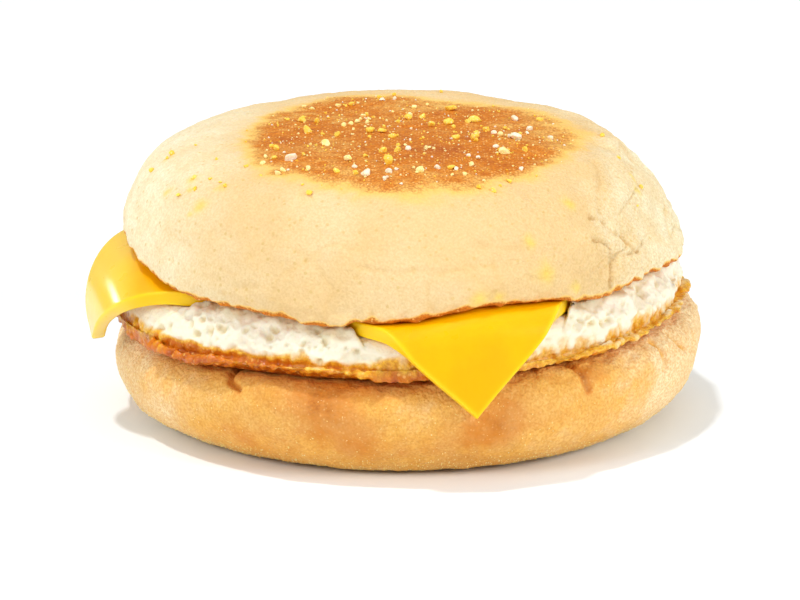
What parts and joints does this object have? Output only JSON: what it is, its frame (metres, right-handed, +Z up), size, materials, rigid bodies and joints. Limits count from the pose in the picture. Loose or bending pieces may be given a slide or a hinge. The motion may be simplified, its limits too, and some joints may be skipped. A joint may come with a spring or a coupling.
{
  "type": "english muffin sandwich",
  "caption": "A breakfast sandwich: a ring-fried egg and a slice of processed cheese with drooping corners between the two toasted halves of an English muffin dusted with coarse cornmeal",
  "frame": {"origin": "centre of the flat underside of the heel, the lower muffin half", "axes": "+Z up through the stack, front -Y where a corner of the cheese hangs down, left -X where another corner hangs out"},
  "size_m": [0.1027, 0.1032, 0.0485],
  "materials": {
    "muffin_crown": "floury baked crust, browned on top",
    "cheese": "smooth and softly glossy",
    "egg": "porous cooked egg white, browned at its foot",
    "muffin_heel": "grainy golden baked crust"
  },
  "bodies": {
    "root": {"crown": "muffin_crown", "cheese": "cheese", "egg": "egg", "heel": "muffin_heel"}
  },
  "joints": []
}
